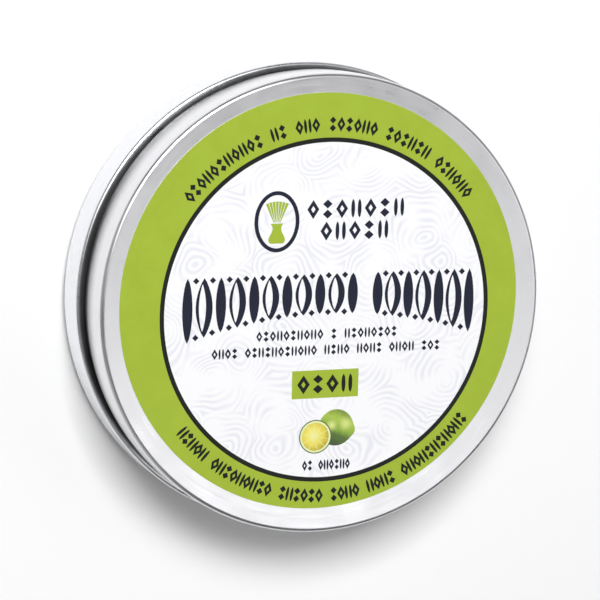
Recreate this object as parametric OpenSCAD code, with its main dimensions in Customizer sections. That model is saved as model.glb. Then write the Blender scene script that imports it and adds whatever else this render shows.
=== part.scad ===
// Flat round screw-top tin that holds a cake of shaving soap.
//
// The base is drawn from thin aluminium sheet and has a threaded neck. The lid drops over
// the neck and its lower edge is rolled inwards into a threaded band. A foam liner lies
// under the lid's panel and seals against the lip of the neck. One label is stuck on the
// lid and one in the recess under the base.
//
// Frame: millimetres, the axis of the tin along +Z, the origin at the middle of the foot,
// and the top of the lid label towards +Y.

/* [Base] */
// Outside radius of the base wall
base_r = 44.45; // [44.2:0.05:46]
// Radius of the rounded bottom corner
foot_corner_r = 3.2; // [2.4:0.1:4]
// Radius of the recessed panel under the base
recess_r = 38.9; // [36:0.1:39.5]
// Outside radius of the neck, between its threads
neck_r = 40.5; // [40.2:0.05:40.55]

/* [Lid] */
// Height of the closed tin, from the foot to the metal top of the lid
tin_h = 23.8; // [23.6:0.1:26]
// Outside radius of the lid
lid_r = 43.7; // [43.65:0.05:44]
// Depth of the lid, from its top to its rolled edge
lid_h = 12.4; // [12.2:0.1:12.6]
// Gap left between the rolled edge and the shoulder of the base
closed_gap = 0.7; // [0.4:0.1:0.8]
// Radius of the edge between the lid's panel and its skirt
lid_edge_r = 0.9; // [0.6:0.1:1.2]
// Thickness of the foam liner
liner_t = 1.1; // [0.8:0.1:1.2]

/* [Sheet and threads] */
// Thickness of the aluminium sheet
sheet_t = 0.4; // [0.3:0.05:0.45]
// Rise of the thread in one turn
thread_pitch = 3.5; // [3:0.1:3.8]
// Height of a thread ridge above the wall it is rolled in
thread_h = 0.45; // [0.3:0.05:0.5]

/* [Soap] */
// Height of the soap's top face above the foot
soap_top = 18.1; // [12:0.1:18.2]

/* [Labels] */
// Radius of the lid label
label_r = 39.55; // [30:0.05:40]
// How far the lid label sits off the lid's centre, left and up
label_shift = [-0.54, 0.6];
// Radius of the label under the base
base_label_r = 35; // [20:0.5:36]
// Thickness of both labels
label_t = 0.12; // [0.08:0.01:0.2]

/* [Hidden] */
$fn = 180;

// Play between parts that touch in the real tin
play = 0.05;

// Base: heights and radii of its profile
shoulder_z = tin_h - lid_h - closed_gap;
shoulder_bend_r = 0.6;
recess_h = 0.8;
recess_bend_r = (recess_h + sheet_t) / 2;
foot_in_r = recess_r + 2 * recess_bend_r - sheet_t;
foot_out_r = base_r - foot_corner_r;
root_bend_r = 0.8;
root_x = neck_r + root_bend_r;
root_z = shoulder_z + root_bend_r;

// Lip bead at the top of the neck, closed tight against the wall
lip_r = 0.55;
lip_x = neck_r - 0.15;
liner_z = tin_h - sheet_t - play - liner_t;
lip_z = liner_z - play - lip_r;

// Lid: the skirt leans in along a long arc and ends in a small rolled edge
lean_r = 30;
lean_a = 11.5;
curl_r = 0.75;
lean_x = lid_r - lean_r;
curl_z = tin_h - lid_h + curl_r;
lean_z = curl_z + (lean_r - curl_r) * sin(lean_a);
curl_x = lean_x + (lean_r - curl_r) * cos(lean_a);
band_x = curl_x - curl_r;
band_top = curl_z + 8.4;
liner_r = lid_r - 1.1;

// Threads: ridges swept along a helix, with ends that fade into the wall
ridge_root_w = 1.7;
ridge_crest_w = 0.7;
ridge_sunk = 0.2;
ring_step = 7.5;
fade_turns = 0.08;
base_thread_z = root_z + 2.7;
base_thread_turns = 1.25;
lid_thread_z = base_thread_z - thread_pitch / 2;
lid_thread_turns = 1.0;

// Soap: how close its sides come to the sheet
soap_r = base_r - sheet_t - play;
soap_neck_r = neck_r - sheet_t - play;

// A stretch of sheet that stands upright, its outer face at radius x
module upright(x, z0, z1)
    polygon([[x - sheet_t, z0], [x, z0], [x, z1], [x - sheet_t, z1]]);

// A stretch of sheet that lies flat, its lower face at height z
module flat(x0, x1, z)
    polygon([[x0, z], [x1, z], [x1, z + sheet_t], [x0, z + sheet_t]]);

// A bend in the sheet about the point (x, z), from angle a0 to a1, less than half a turn
module bend(x, z, outer_r, a0, a1) {
    reach = 3 * outer_r;
    mid = (a0 + a1) / 2;
    translate([x, z])
        intersection() {
            difference() {
                circle(r = outer_r);
                circle(r = outer_r - sheet_t);
            }
            polygon([
                [0, 0],
                reach * [cos(a0), sin(a0)],
                reach * [cos(mid), sin(mid)],
                reach * [cos(a1), sin(a1)]
            ]);
        }
}

// How high the ridge stands at a share u of its length: it fades in and out at its ends
function fade(u, turns) = min(1, u * turns / fade_turns, (1 - u) * turns / fade_turns);

// The four corners of the ridge's section at one place along the helix. side is +1 for
// a ridge on the outside of a wall and -1 for one on the inside.
function section(wall_r, side, rise) = [
    [wall_r - side * ridge_sunk, -ridge_root_w / 2],
    [wall_r + side * rise, -ridge_crest_w / 2],
    [wall_r + side * rise, ridge_crest_w / 2],
    [wall_r - side * ridge_sunk, ridge_root_w / 2]
];

// A point of the section carried round to its angle and up to its height
function carried(p, a, z) = [p[0] * cos(a), p[0] * sin(a), p[1] + z];

// A thread ridge that starts at height z0 and climbs thread_pitch in each turn
module ridge(wall_r, side, z0, turns) {
    rings = round(turns * 360 / ring_step);
    low = 0.05;
    points = [
        for (i = [0:rings])
            let (
                u = i / rings,
                a = u * turns * 360,
                z = z0 + u * turns * thread_pitch,
                s = section(wall_r, side, low + (thread_h - low) * fade(u, turns))
            )
            for (k = [0:3]) carried(s[k], a, z)
    ];
    sides = [
        for (i = [0:rings - 1], k = [0:3])
            let (n = (k + 1) % 4)
            side > 0
                ? [4 * i + k, 4 * i + n, 4 * i + 4 + n, 4 * i + 4 + k]
                : [4 * i + k, 4 * i + 4 + k, 4 * i + 4 + n, 4 * i + n]
    ];
    last = 4 * rings;
    ends = side > 0
        ? [[3, 2, 1, 0], [last, last + 1, last + 2, last + 3]]
        : [[0, 1, 2, 3], [last + 3, last + 2, last + 1, last]];
    polyhedron(points = points, faces = concat(sides, ends), convexity = 4);
}

// The base: foot, wall, shoulder, neck and lip in one sheet, and the thread on its neck
module tin_base() color("#c9c9cf") union() {
    rotate_extrude() {
        flat(0, recess_r, recess_h);
        bend(recess_r, recess_bend_r, recess_bend_r, 0, 90);
        bend(foot_in_r, recess_bend_r, recess_bend_r, 180, 270);
        flat(foot_in_r, foot_out_r, 0);
        bend(foot_out_r, foot_corner_r, foot_corner_r, 270, 360);
        upright(base_r, foot_corner_r, shoulder_z - shoulder_bend_r);
        bend(base_r - shoulder_bend_r, shoulder_z - shoulder_bend_r, shoulder_bend_r, 0, 90);
        flat(root_x, base_r - shoulder_bend_r, shoulder_z - sheet_t);
        bend(root_x, root_z, root_bend_r + sheet_t, 180, 270);
        upright(neck_r, root_z, lip_z);
        translate([lip_x, lip_z])
            circle(r = lip_r);
    }
    ridge(neck_r, 1, base_thread_z, base_thread_turns);
}

// The soap, poured to fill the base up to a level in the neck
module soap_puck() color("#efe7d2") rotate_extrude() difference() {
    union() {
        square([soap_neck_r, soap_top]);
        square([foot_out_r, shoulder_z - sheet_t - play]);
        translate([0, foot_corner_r])
            square([soap_r, shoulder_z - sheet_t - play - foot_corner_r - 0.25]);
        translate([0, shoulder_z - sheet_t - play - 0.5])
            square([base_r - shoulder_bend_r, 0.5]);
        translate([foot_out_r, foot_corner_r])
            circle(r = foot_corner_r - sheet_t - play);
    }
    translate([-1, -1])
        square([foot_out_r + 2, 1 + sheet_t + play]);
    translate([-1, -1])
        square([foot_in_r + play + 1, 1 + recess_h + sheet_t + play]);
}

// The ingredients label, stuck in the recess under the base
module base_label() color("#f4f4f2")
    translate([0, 0, recess_h - label_t])
        cylinder(r = base_label_r, h = label_t);

// The foam disc that lies between the lid's panel and the lip of the neck
module lid_liner() color("#fbfbfa")
    translate([0, 0, liner_z])
        cylinder(r = liner_r, h = liner_t);

// The lid: panel, skirt and rolled edge in one sheet, and the thread in its inner band
module tin_lid() color("#d3d3d8") union() {
    rotate_extrude() {
        flat(0, lid_r - lid_edge_r, tin_h - sheet_t);
        bend(lid_r - lid_edge_r, tin_h - lid_edge_r, lid_edge_r, 0, 90);
        upright(lid_r, lean_z, tin_h - lid_edge_r);
        bend(lean_x, lean_z, lean_r, -lean_a, 0);
        bend(curl_x, curl_z, curl_r, -90, -lean_a);
        bend(curl_x, curl_z, curl_r, -180, -90);
        upright(band_x + sheet_t, curl_z, band_top);
    }
    ridge(band_x, -1, lid_thread_z, lid_thread_turns);
}

// The printed label on the lid
module lid_label() color("#a1b83c")
    translate([label_shift[0], label_shift[1], tin_h])
        cylinder(r = label_r, h = label_t);

tin_base();
soap_puck();
base_label();
lid_liner();
tin_lid();
lid_label();
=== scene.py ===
# %% [markdown]
# # A round screw-top tin of shaving soap
#
# The object is a flat tin of thin satin aluminium, about 89 mm across and 24 mm high. A cake of
# soap is poured into its base, a foam disc under the lid seals it, and a round printed label is
# stuck on the lid, a little off its middle. The tin has few pieces, so its look rests on three
# things: the small bends of the sheet, the soft shine of the metal, and crisp print.
#
# The frame holds the tin at its real size, in metres, standing on its base with its axis along Z.
# Every piece below is built where the frame says, so nothing is fitted afterwards.

# %% Load the frame
import math

import bpy
import numpy as np
from mathutils import Matrix, Vector


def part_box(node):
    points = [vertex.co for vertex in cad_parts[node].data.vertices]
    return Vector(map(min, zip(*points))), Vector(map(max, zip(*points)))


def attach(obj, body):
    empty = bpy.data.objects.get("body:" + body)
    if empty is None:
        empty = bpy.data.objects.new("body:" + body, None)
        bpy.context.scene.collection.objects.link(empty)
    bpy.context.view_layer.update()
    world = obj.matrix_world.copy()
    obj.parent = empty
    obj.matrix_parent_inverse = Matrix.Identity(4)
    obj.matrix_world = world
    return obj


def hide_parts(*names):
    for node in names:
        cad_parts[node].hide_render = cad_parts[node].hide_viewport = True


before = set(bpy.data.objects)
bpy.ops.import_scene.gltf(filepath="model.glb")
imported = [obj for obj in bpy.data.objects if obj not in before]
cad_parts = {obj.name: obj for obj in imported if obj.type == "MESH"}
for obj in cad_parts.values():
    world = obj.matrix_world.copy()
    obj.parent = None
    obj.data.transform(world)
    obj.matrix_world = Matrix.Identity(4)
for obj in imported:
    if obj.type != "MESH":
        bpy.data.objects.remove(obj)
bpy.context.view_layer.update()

MM = 0.001


def box_mm(node):
    """A CAD node's lowest and highest corner, in mm."""
    return [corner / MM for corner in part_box(node)]


base_high = box_mm("tin_base")[1]
soap_high = box_mm("soap_puck")[1]
lid_low, lid_high = box_mm("tin_lid")
label_low, label_high = box_mm("lid_label")
liner_low, liner_high = box_mm("lid_liner")
paper_low, paper_high = box_mm("base_label")
print("base", round(base_high.x * 2, 2), "mm across; lid", round(lid_high.x * 2, 2), "mm across")

# %% [markdown]
# ## Two helpers: colours and nodes
#
# A designer picks colours as sRGB hex values, but a renderer adds up light in linear values.
# One function turns the first into the second, so that every colour in this file can be read as
# a plain hex value. Node trees, for materials and for geometry alike, are built with one more
# function, which adds a node, sets its options and fills its inputs. It keeps each tree as short
# as the drawing of it in the editor.

# %% Colour and node helpers
def linear(hex_colour):
    """An sRGB hex colour, such as "A1B83C", as the linear RGBA that shaders take."""
    channels = [int(hex_colour[k:k + 2], 16) / 255 for k in (0, 2, 4)]
    return tuple(c / 12.92 if c <= 0.04045 else ((c + 0.055) / 1.055) ** 2.4 for c in channels) + (1.0,)


def add(tree, kind, inputs=(), **settings):
    """Adds a node, sets its options, and fills its inputs.

    Inputs are a list in the order of the sockets, or a dict by name or number. Each is a value
    or an output to link, and a node stands for its first output.
    """
    node = tree.nodes.new(kind)
    for name, value in settings.items():
        setattr(node, name, value)
    for key, value in inputs.items() if isinstance(inputs, dict) else enumerate(inputs):
        if isinstance(value, bpy.types.Node):
            value = value.outputs[0]
        if isinstance(value, bpy.types.NodeSocket):
            tree.links.new(value, node.inputs[key])
        else:
            node.inputs[key].default_value = value
    return node


print("green of the label, linear:", [round(c, 3) for c in linear("A1B83C")[:3]])

# %% [markdown]
# ## Camera, floor and light
#
# A product picture of a shiny tin is a picture of its surroundings, so the stage comes first.
# The camera looks down on the lid from 20 degrees to the left and 10 degrees above its axis,
# from far away with a long lens, which keeps the lid almost a true circle. The floor is pale and
# matt. The lights are wide soft boxes, because a small lamp would draw hard spots in satin metal.

# %% Camera
CAMERA_LEFT = math.radians(20)
CAMERA_ABOVE = math.radians(9.75)
CAMERA_DISTANCE = 633.5
CAMERA_SLIDE = (-4.49, 1.02)
SENSOR_WIDTH = 36
LENS = 202.8


def to_scene(thing):
    """Links an object to the scene, and returns it."""
    bpy.context.scene.collection.objects.link(thing)
    return thing


camera_turn = Matrix.Rotation(-CAMERA_ABOVE, 3, "X") @ Matrix.Rotation(-CAMERA_LEFT, 3, "Y")
lid_middle = Vector((0, 0, lid_high.z))
camera_place = lid_middle + camera_turn @ Vector((*CAMERA_SLIDE, CAMERA_DISTANCE))
camera_data = bpy.data.cameras.new("camera")
camera_data.sensor_width = SENSOR_WIDTH
camera_data.lens = LENS
camera_data.clip_start = 0.01
camera = to_scene(bpy.data.objects.new("camera", camera_data))
camera.matrix_world = Matrix.Translation(camera_place * MM) @ camera_turn.to_4x4()
bpy.context.scene.camera = camera
bpy.context.scene.view_settings.view_transform = "Standard"
print("camera", [round(c) for c in camera_place], "mm")

# %% Soft lights
LIT_POINT = Vector((0, 0, 10))


def from_side(around, up, distance):
    """A place in mm, given the way round from +X, the height in degrees and the distance."""
    a, e = math.radians(around), math.radians(up)
    heading = (math.cos(a) * math.cos(e), math.sin(a) * math.cos(e), math.sin(e))
    return Vector([distance * c for c in heading])


def soft_light(name, place, size, power):
    """A square soft box, size mm wide, that shines from a place in mm towards the tin."""
    data = bpy.data.lights.new(name, "AREA")
    data.shape = "SQUARE"
    data.size = size * MM
    data.energy = power
    light = to_scene(bpy.data.objects.new(name, data))
    towards = (LIT_POINT - place).to_track_quat("-Z", "Y")
    light.matrix_world = Matrix.Translation(place * MM) @ towards.to_matrix().to_4x4()
    light.visible_camera = False


for name, around, up, distance, size, power in (
        ("key_light", 115, 64, 800, 260, 5.35),
        ("far_fill", 315, 64, 800, 260, 0.36),
        ("side_fill", 0, 48, 700, 350, 0.42),
        ("right_fill", 45, 48, 700, 350, 0.2),
        ("low_fill", -60, 70, 800, 260, 0.07),
        ("rim_fill_left", 175, 25, 700, 500, 0.22),
        ("rim_fill_low", 230, 25, 700, 500, 0.3)):
    soft_light(name, from_side(around, up, distance), size, power)
    print(name, "at", [round(c) for c in from_side(around, up, distance)], "mm,", power, "W")

# %% Floor and pale room
FLOOR_HALF = 2500
SQUARE = ((-1, -1), (1, -1), (1, 1), (-1, 1))

floor_mesh = bpy.data.meshes.new("floor")
floor_corners = [(x * FLOOR_HALF * MM, y * FLOOR_HALF * MM, 0) for x, y in SQUARE]
floor_mesh.from_pydata(floor_corners, [], [(0, 1, 2, 3)])
floor = to_scene(bpy.data.objects.new("floor", floor_mesh))
floor_finish = bpy.data.materials.new("matt_white_sweep_paper")
floor_finish.use_nodes = True
floor_shader = floor_finish.node_tree.nodes["Principled BSDF"]
floor_shader.inputs["Base Color"].default_value = linear("FFFFFF")
floor_shader.inputs["Roughness"].default_value = 0.9
floor_mesh.materials.append(floor_finish)

world = bpy.data.worlds.new("pale_room")
world.use_nodes = True
world.node_tree.nodes.clear()
sky = add(world.node_tree, "ShaderNodeBackground", {"Color": linear("FFFFFF"), "Strength": 0.1})
add(world.node_tree, "ShaderNodeOutputWorld", {"Surface": sky})
bpy.context.scene.world = world
print("floor", 2 * FLOOR_HALF, "mm across")

# %% [markdown]
# ## Metal
#
# The tin is pressed and drawn from aluminium strip, and its satin look comes from the rolls
# and from the spinning tools that trim it: the marks run round the tin. Noise stretched round
# the axis gives those marks. It could be read from a UV map, but a tin is round, so the material
# turns Object coordinates into a direction on a circle, a radius and a height. A direction has no
# seam, which an angle would have. The true marks are about 0.05 mm apart, too fine to show, so
# they are drawn at about 0.4 mm.

# %% Material starter
def new_material(name, colour, roughness, metallic=0.0):
    """A material: (itself, its tree, its Principled shader, the point's place in metres)."""
    material = bpy.data.materials.new(name)
    material.use_nodes = True
    material.diffuse_color = linear(colour)
    tree = material.node_tree
    tree.nodes.clear()
    shader = add(tree, "ShaderNodeBsdfPrincipled", {
        "Base Color": linear(colour), "Roughness": roughness, "Metallic": metallic})
    add(tree, "ShaderNodeOutputMaterial", {"Surface": shader})
    return material, tree, shader, add(tree, "ShaderNodeTexCoord").outputs["Object"]


# %% Where painted shade darkens the metal
SHOULDER_Z = 10.7
# Each painted shade is dark at its first length in mm, bright at its second, and never below its third.
SKIRT_PAINTED_SHADE = (12.5, 20.4, 0.012)
SHOULDER_PAINTED_SHADE = (43.3, 44.2, 0.35)
CLEAR_OF_SHOULDER = (0.2, 1.6, 0.0)


def lightest(tree, shades):
    """The lightest of some shades, each of which rises to 1 while a length crosses a span in mm."""
    factor = None
    for length, start, stop, least in shades:
        shade = add(tree, "ShaderNodeMapRange", {
            "Value": length, "From Min": start * MM, "From Max": stop * MM, "To Min": least},
            interpolation_type="SMOOTHSTEP")
        factor = add(tree, "ShaderNodeMath", [factor, shade], operation="MAXIMUM") if factor else shade
    return factor


def rolled_edge_painted_shade(tree, radius, height):
    """Painted shade: the lid's skirt darkens from where it starts to lean in down to its rolled edge."""
    return lightest(tree, [(height, *SKIRT_PAINTED_SHADE)])


def shoulder_painted_shade(tree, radius, height):
    """Painted shade: the base's shoulder darkens towards the root of the neck."""
    above = add(tree, "ShaderNodeMath", [height, SHOULDER_Z * MM], operation="SUBTRACT")
    away = add(tree, "ShaderNodeMath", [above], operation="ABSOLUTE")
    return lightest(tree, [(radius, *SHOULDER_PAINTED_SHADE), (away, *CLEAR_OF_SHOULDER)])


# %% Drawn satin aluminium: a cool grey metal with a wide, soft highlight
MARK_SPACING = 0.4
MARK_LENGTH = 9.0
METAL_CLOUD = 7.0
TYPICAL_R = 43.0
MARK_DEPTH = 0.0025
NOISE_SPAN = (0.6, 1.4)
ROUGHER = (-0.05, 0.07)
DARKER = 0.93


def satin_aluminium(name, colour, roughness, shade):
    material, tree, shader, place = new_material(name, colour, roughness, metallic=1.0)
    flat = add(tree, "ShaderNodeVectorMath", [place, (1, 1, 0)], operation="MULTIPLY")
    radius = add(tree, "ShaderNodeVectorMath", [flat], operation="LENGTH").outputs["Value"]
    heading = add(tree, "ShaderNodeVectorMath", [flat], operation="NORMALIZE")
    apart = add(tree, "ShaderNodeSeparateXYZ", [heading]).outputs
    height = add(tree, "ShaderNodeSeparateXYZ", [place]).outputs["Z"]
    # One turn of a 43 mm radius is 270 mm, so marks MARK_LENGTH long need this much of the circle.
    around = TYPICAL_R / MARK_LENGTH
    across = 1 / (MARK_SPACING * MM)
    *ring, level = [add(tree, "ShaderNodeMath", scaled, operation="MULTIPLY") for scaled in (
        [apart[0], around], [apart[1], around], [radius, across], [height, across])]
    marks = add(tree, "ShaderNodeTexNoise", {
        "Vector": add(tree, "ShaderNodeCombineXYZ", ring), "W": level, "Scale": 1.0, "Detail": 3.0,
        "Roughness": 0.65}, noise_dimensions="4D")
    # A broad, faint cloud, as the lacquer and handling leave on real sheet.
    cloud = add(tree, "ShaderNodeTexNoise", {
        "Vector": place, "Scale": 1 / (METAL_CLOUD * MM), "Detail": 4.0, "Roughness": 0.6})
    mixed = add(tree, "ShaderNodeMath", [marks, cloud], operation="ADD")
    rough, pale = [add(tree, "ShaderNodeMapRange", {
        "Value": mixed, "From Min": NOISE_SPAN[0], "From Max": NOISE_SPAN[1],
        "To Min": least, "To Max": most}) for least, most in (
            [roughness + change for change in ROUGHER], (0.0, 1.0))]
    darker = tuple(DARKER * c for c in linear(colour)[:3]) + (1.0,)
    tint = add(tree, "ShaderNodeMix", {0: pale, 6: darker, 7: linear(colour)}, data_type="RGBA")
    # Painted shade: each half's colour is darkened towards the gap between them, where metal that
    # turns in towards the gap would mirror its darkness.
    shaded = add(tree, "ShaderNodeVectorMath", {
        0: tint.outputs[2], "Scale": shade(tree, radius, height)}, operation="SCALE")
    bump = add(tree, "ShaderNodeBump", {"Height": marks, "Distance": MARK_DEPTH * MM, "Strength": 1.0})
    for pattern, target in ((shaded, "Base Color"), (rough, "Roughness"), (bump, "Normal")):
        tree.links.new(pattern.outputs[0], shader.inputs[target])
    return material


# Both metals carry painted shade: the lid's on its lower skirt, the base's on its shoulder.
lid_metal = satin_aluminium("drawn_satin_aluminium_lid", "E9E9EC", 0.30, rolled_edge_painted_shade)
base_metal = satin_aluminium("drawn_satin_aluminium_base", "EEEFF2", 0.28, shoulder_painted_shade)
print("metals:", lid_metal.name, base_metal.name)

# %% [markdown]
# ## Print, soap, foam and paper
#
# The lid label is white vinyl film with a satin laminate, printed in a lime green, a near black
# and, behind everything, a very pale lavender that curls like lather. The curls are rings round
# the middles of Voronoi cells, whose place is first pushed about by noise, so no ring is round.
# The inks are thin layers of their own on the film, so their edges stay sharp at any distance,
# and their materials only need the slight unevenness of a printed solid. All of these finishes
# are a pattern between two tones, most with a fine relief, so one function ends them all.

# %% Two tones and a relief
def dress(tree, shader, pattern, tones, span=(0.0, 1.0), relief=None, depth=0.0):
    """Lets a pattern, over a span, carry the colour from tone to tone; relief is depth mm deep."""
    spread = add(tree, "ShaderNodeMapRange", {
        "Value": pattern, "From Min": span[0], "From Max": span[1]})
    tint = add(tree, "ShaderNodeMix", {
        0: spread, 6: linear(tones[0]), 7: linear(tones[1])}, data_type="RGBA")
    tree.links.new(tint.outputs[2], shader.inputs["Base Color"])
    if relief:
        bump = add(tree, "ShaderNodeBump", {
            "Height": relief, "Distance": depth * MM, "Strength": 1.0})
        tree.links.new(bump.outputs["Normal"], shader.inputs["Normal"])


# %% Printed vinyl film: clean white with lather swirls that only just show
CURL_WIDTH = 12.0
CURL_LINE = 1.15
CURL_PUSH = 6.0
PUSH_SIZE = 8.0
PATCH_SIZE = 6.0
FILM_GRAIN = 0.8


def swirled_vinyl():
    material, tree, shader, place = new_material("printed_vinyl_white", "F9F9FB", 0.42)
    push = add(tree, "ShaderNodeTexNoise", {
        "Vector": place, "Scale": 1 / (PUSH_SIZE * MM), "Detail": 1.0, "Roughness": 0.4})
    centred = add(tree, "ShaderNodeVectorMath", [push.outputs["Color"], (0.5, 0.5, 0.5)],
                  operation="SUBTRACT")
    reach = (CURL_PUSH * MM, CURL_PUSH * MM, 0.0)
    pushed = add(tree, "ShaderNodeVectorMath", [centred, reach, place], operation="MULTIPLY_ADD")
    curls = add(tree, "ShaderNodeTexVoronoi", {
        "Vector": pushed, "Scale": 1 / (CURL_WIDTH * MM), "Randomness": 0.9}, voronoi_dimensions="2D")
    # A curl's distance runs from 0 at its eye to about 1 one curl width away.
    rings = 2 * math.pi * CURL_WIDTH / CURL_LINE
    phase = add(tree, "ShaderNodeMath", [curls.outputs["Distance"], rings], operation="MULTIPLY")
    wave = add(tree, "ShaderNodeMath", [phase], operation="SINE")
    line = add(tree, "ShaderNodeMapRange", {"Value": wave, "From Min": -0.6, "From Max": 1.0})
    where = add(tree, "ShaderNodeTexNoise", {
        "Vector": place, "Scale": 1 / (PATCH_SIZE * MM), "Detail": 1.0})
    patch = add(tree, "ShaderNodeMapRange", {"Value": where, "From Min": 0.38, "From Max": 0.62})
    faint = add(tree, "ShaderNodeMath", [patch, line], operation="MULTIPLY")
    grain = add(tree, "ShaderNodeTexNoise", {"Vector": place, "Scale": 1 / (FILM_GRAIN * MM)})
    dress(tree, shader, faint, ("F8F8FA", "E7E7EF"), relief=grain, depth=0.003)
    return material


# %% Inks: solid colours with the faint mottle of a printed area
INK_MOTTLE = 5.0


def ink(name, colour, deeper):
    material, tree, shader, place = new_material(name, colour, 0.42)
    mottle = add(tree, "ShaderNodeTexNoise", {
        "Vector": place, "Scale": 1 / (INK_MOTTLE * MM), "Detail": 5.0, "Roughness": 0.7})
    dress(tree, shader, mottle, (colour, deeper), (0.35, 0.65))
    shader.inputs["Specular IOR Level"].default_value = 0.25
    return material


white_vinyl = swirled_vinyl()
green_ink = ink("lime_green_ink", "A3BA38", "9EB434")
black_ink = ink("near_black_ink", "161A13", "11140F")
title_ink = ink("blue_black_ink", "1C2035", "171B2E")
print("print:", white_vinyl.name, green_ink.name, black_ink.name, title_ink.name)

# %% Poured soap: creamy and slightly translucent, with a dry, fine-grained skin
SOAP_CLOUD = 14.0
SOAP_SKIN = 0.7


def poured_soap():
    material, tree, shader, place = new_material("poured_shaving_soap", "F1EAD9", 0.5)
    cloud = add(tree, "ShaderNodeTexNoise", {
        "Vector": place, "Scale": 1 / (SOAP_CLOUD * MM), "Detail": 5.0, "Distortion": 0.6})
    skin = add(tree, "ShaderNodeTexNoise", {
        "Vector": place, "Scale": 1 / (SOAP_SKIN * MM), "Detail": 4.0})
    dress(tree, shader, cloud, ("F4EEE0", "E9DFC8"), (0.35, 0.65), skin, 0.06)
    shader.inputs["IOR"].default_value = 1.46
    shader.inputs["Subsurface Weight"].default_value = 0.25
    shader.inputs["Subsurface Radius"].default_value = (1.0, 0.8, 0.55)
    shader.inputs["Subsurface Scale"].default_value = 1.5 * MM
    return material


# %% EPE foam: matt white, with the flat closed cells that show on its cut skin
FOAM_CELL = 0.9


def cell_foam():
    material, tree, shader, place = new_material("white_epe_foam", "F7F7F6", 0.8)
    cells = add(tree, "ShaderNodeTexVoronoi", {
        "Vector": place, "Scale": 1 / (FOAM_CELL * MM), "Randomness": 1.0}, feature="DISTANCE_TO_EDGE")
    wall = add(tree, "ShaderNodeMapRange", {"Value": cells, "From Min": 0.0, "From Max": 0.25})
    dress(tree, shader, wall, ("FFFFFF", "EFEFEE"), relief=wall, depth=-0.05)
    return material


# %% Coated label paper: white, smooth, with a trace of fibre
PAPER_FIBRE = 0.5


def label_paper():
    material, tree, shader, place = new_material("coated_label_paper", "F4F4F1", 0.55)
    fibre = add(tree, "ShaderNodeTexNoise", {
        "Vector": place, "Scale": 1 / (PAPER_FIBRE * MM), "Detail": 6.0, "Distortion": 1.5})
    dress(tree, shader, fibre, ("F7F7F5", "EFEFEA"), relief=fibre, depth=0.01)
    return material


soap_finish = poured_soap()
foam_finish = cell_foam()
paper_finish = label_paper()
print(len(bpy.data.materials), "materials so far")

# %% [markdown]
# ## How a tree becomes a piece
#
# A Geometry Nodes tree lives on a modifier, and its result exists only while Blender evaluates
# it. The frame wants plain meshes. So each tree gets named inputs, runs once on a small seed mesh,
# and its result is copied into a mesh of its own. A modifier knows its inputs by identifier and
# not by name, so the helper looks each one up before anything is evaluated.

# %% Trees in, plain meshes out
SOCKETS = {"number": "NodeSocketFloat", "count": "NodeSocketInt", "finish": "NodeSocketMaterial",
           "shape": "NodeSocketObject"}


def new_tree(name, **inputs):
    """A tree with a mesh in, a mesh out and named inputs by kind: (tree, the inputs' outputs)."""
    tree = bpy.data.node_groups.new(name, "GeometryNodeTree")
    tree.interface.new_socket("Seed", in_out="INPUT", socket_type="NodeSocketGeometry")
    for kind, labels in inputs.items():
        for label in labels:
            tree.interface.new_socket(label, in_out="INPUT", socket_type=SOCKETS[kind])
    tree.interface.new_socket("Finish", in_out="INPUT", socket_type=SOCKETS["finish"])
    tree.interface.new_socket("Result", in_out="OUTPUT", socket_type="NodeSocketGeometry")
    return tree, tree.nodes.new("NodeGroupInput").outputs


def close_tree(tree, geometry, finish):
    """Ends a tree as every tree here ends: real geometry that wears its material."""
    real = add(tree, "GeometryNodeRealizeInstances", {"Geometry": geometry})
    worn = add(tree, "GeometryNodeSetMaterial", {"Geometry": real, "Material": finish})
    add(tree, "NodeGroupOutput", [worn])
    print(f"tree {tree.name}: {len(tree.nodes)} nodes")


def close_sweep(tree, mesh, finish):
    """Ends a tree that sweeps an outline. Its faces look inwards, so they are turned, and smoothed."""
    facing = add(tree, "GeometryNodeFlipFaces", {"Mesh": mesh})
    smooth = add(tree, "GeometryNodeSetShadeSmooth", {"Geometry": facing, "Shade Smooth": True})
    close_tree(tree, smooth, finish)


def seed_mesh(points, edges=()):
    mesh = bpy.data.meshes.new("seed")
    mesh.from_pydata([tuple(p) for p in points], list(edges), [])
    return mesh


def seed_outline(outline, shift=0.0):
    """A closed outline of (radius, height) points in mm, laid flat as a sweep's profile."""
    ring = [(k, (k + 1) % len(outline)) for k in range(len(outline))]
    return seed_mesh([((r - shift) * MM, -z * MM, 0) for r, z in outline], ring)


def grow(tree, mesh, values, sharp_angle=40):
    """Runs a tree on a seed mesh, and returns the result as a plain mesh."""
    seed = to_scene(bpy.data.objects.new("seed", mesh))
    modifier = seed.modifiers.new("grow", "NODES")
    modifier.node_group = tree
    for socket in tree.interface.items_tree:
        if socket.in_out == "INPUT" and socket.name in values:
            modifier[socket.identifier] = values[socket.name]
    grown = seed.evaluated_get(bpy.context.evaluated_depsgraph_get())
    result = bpy.data.meshes.new_from_object(grown)
    bpy.data.objects.remove(seed)
    result.set_sharp_from_angle(angle=math.radians(sharp_angle))
    return result


def join_body(name, mesh, body, slot, *nodes):
    """Makes a mesh a piece, tied to its body and the nodes that it stands for; slot is not used."""
    mesh.name = name
    piece = to_scene(bpy.data.objects.new(name, mesh))
    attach(piece, body)
    if nodes:
        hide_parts(*nodes)
    mesh.calc_loop_triangles()
    corners = [[mesh.vertices[v].co / MM for v in t.vertices] for t in mesh.loop_triangles]
    volume = sum(a.dot(b.cross(c)) for a, b, c in corners) / 6
    size = [round(d / MM, 2) for d in piece.dimensions]
    print(f"{name}: {size} mm, {len(corners)} triangles, {volume:.2f} mm3")
    return piece


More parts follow.
